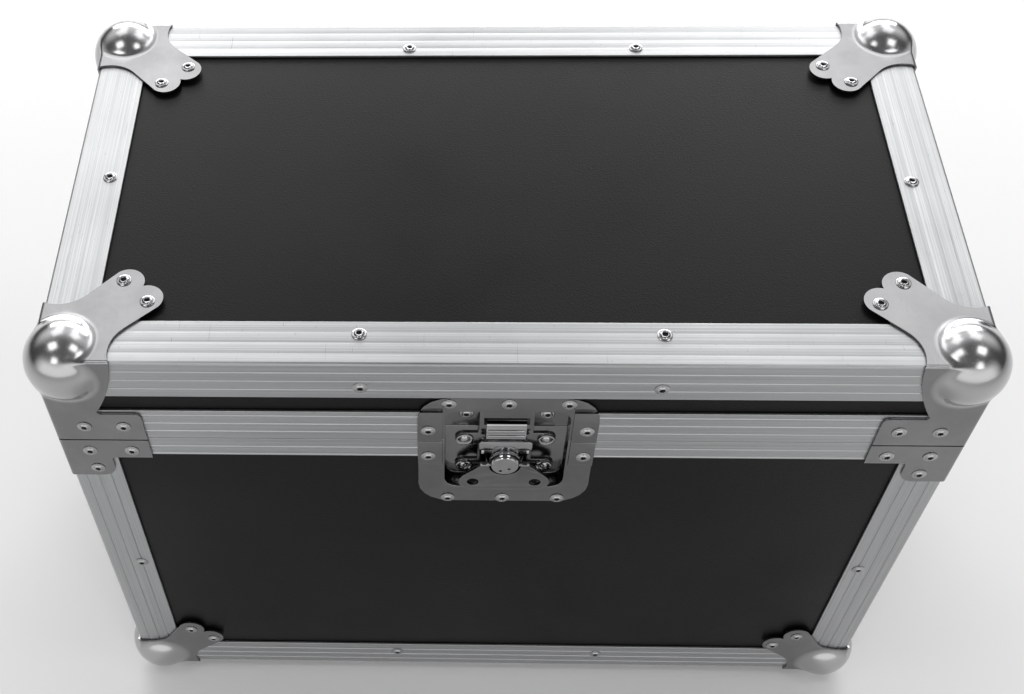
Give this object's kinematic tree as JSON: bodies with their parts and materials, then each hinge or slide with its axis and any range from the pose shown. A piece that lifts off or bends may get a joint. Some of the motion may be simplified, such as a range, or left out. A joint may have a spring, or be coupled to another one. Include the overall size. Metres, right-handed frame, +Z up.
{
  "type": "flight case",
  "caption": "Small hinged flight case of black laminated panels in aluminium edge extrusions, with steel ball corners, a recessed butterfly latch, rear hinges and recessed end handles.",
  "frame": {"origin": "on the floor, in the middle of the four lower ball corners", "axes": "+X to the case's right along its length, seen from the front, +Y to the back with the hinges, +Z up"},
  "size_m": [0.539, 0.303, 0.3823],
  "materials": {
    "laminate": "black laminated plywood, fine texture",
    "extrusion": "satin aluminium extrusion with fine ribs",
    "corner": "bright plated pressed steel",
    "latch": "bright plated pressed steel",
    "hinge": "plated steel",
    "handle": "plated steel"
  },
  "bodies": {
    "base": {"base_floor_panel": "laminate", "base_front_panel": "laminate", "base_back_panel": "laminate", "base_left_panel": "laminate", "base_right_panel": "laminate", "base_edge_front": "extrusion", "base_edge_back": "extrusion", "base_edge_left": "extrusion", "base_edge_right": "extrusion", "base_post_front_left": "extrusion", "base_post_front_right": "extrusion", "base_post_back_left": "extrusion", "base_post_back_right": "extrusion", "base_rim_front_left": "extrusion", "base_rim_front_right": "extrusion", "base_rim_back": "extrusion", "base_rim_left": "extrusion", "base_rim_right": "extrusion", "base_ball_corner_front_left": "corner", "base_ball_corner_front_right": "corner", "base_ball_corner_back_left": "corner", "base_ball_corner_back_right": "corner", "base_corner_brace_front_left": "corner", "base_corner_brace_front_right": "corner", "base_corner_brace_back_left": "corner", "base_corner_brace_back_right": "corner", "latch_lower_dish": "latch", "latch_base_plate": "latch", "hinge_left_base_leaf": "hinge", "hinge_right_base_leaf": "hinge", "handle_left_dish": "handle", "handle_right_dish": "handle"},
    "lid": {"lid_top_panel": "laminate", "lid_front_panel": "laminate", "lid_back_panel": "laminate", "lid_left_panel": "laminate", "lid_right_panel": "laminate", "lid_edge_front": "extrusion", "lid_edge_back": "extrusion", "lid_edge_left": "extrusion", "lid_edge_right": "extrusion", "lid_rim_front_left": "extrusion", "lid_rim_front_right": "extrusion", "lid_rim_back": "extrusion", "lid_rim_left": "extrusion", "lid_rim_right": "extrusion", "lid_ball_corner_front_left": "corner", "lid_ball_corner_front_right": "corner", "lid_ball_corner_back_left": "corner", "lid_ball_corner_back_right": "corner", "latch_upper_dish": "latch", "latch_keeper": "latch", "hinge_left_lid_leaf": "hinge", "hinge_right_lid_leaf": "hinge"},
    "latch_turn": {"latch_rotor": "latch"},
    "latch_wing_body": {"latch_wing": "latch"},
    "latch_slide": {"latch_yoke": "latch"},
    "latch_hook_body": {"latch_hook": "latch"},
    "handle_left": {"handle_left_bail": "handle"},
    "handle_right": {"handle_right_bail": "handle"}
  },
  "joints": [
    {"name": "lid_hinge", "type": "hinge", "parent": "base", "child": "lid", "pos_m": [0, 0.146, 0.30315], "axis": [-1, 0, 0], "range_deg": [0, 100]},
    {"name": "latch_twist", "type": "hinge", "parent": "base", "child": "latch_turn", "pos_m": [0, -0.142, 0.27965], "axis": [0, -1, 0], "range_deg": [0, 180]},
    {"name": "wing_flip", "type": "hinge", "parent": "latch_turn", "child": "latch_wing_body", "pos_m": [0, -0.143, 0.27965], "axis": [-1, 0, 0], "range_deg": [0, 90]},
    {"name": "yoke_slide", "type": "slide", "parent": "base", "child": "latch_slide", "axis": [0, 0, 1], "range_m": [0, 0.0065]},
    {"name": "hook_tilt", "type": "hinge", "parent": "latch_slide", "child": "latch_hook_body", "pos_m": [0, -0.1375, 0.28595], "axis": [1, 0, 0], "range_deg": [0, 9]},
    {"name": "handle_left_swing", "type": "hinge", "parent": "base", "child": "handle_left", "pos_m": [-0.253, 0, 0.21515], "axis": [0, 1, 0], "range_deg": [0, 90]},
    {"name": "handle_right_swing", "type": "hinge", "parent": "base", "child": "handle_right", "pos_m": [0.253, 0, 0.21515], "axis": [0, -1, 0], "range_deg": [0, 90]}
  ],
  "couplings": [
    {"joint": "latch_twist", "follows": "yoke_slide", "rad_per_m": 483.32},
    {"joint": "hook_tilt", "follows": "yoke_slide", "rad_per_m": 24.166}
  ]
}
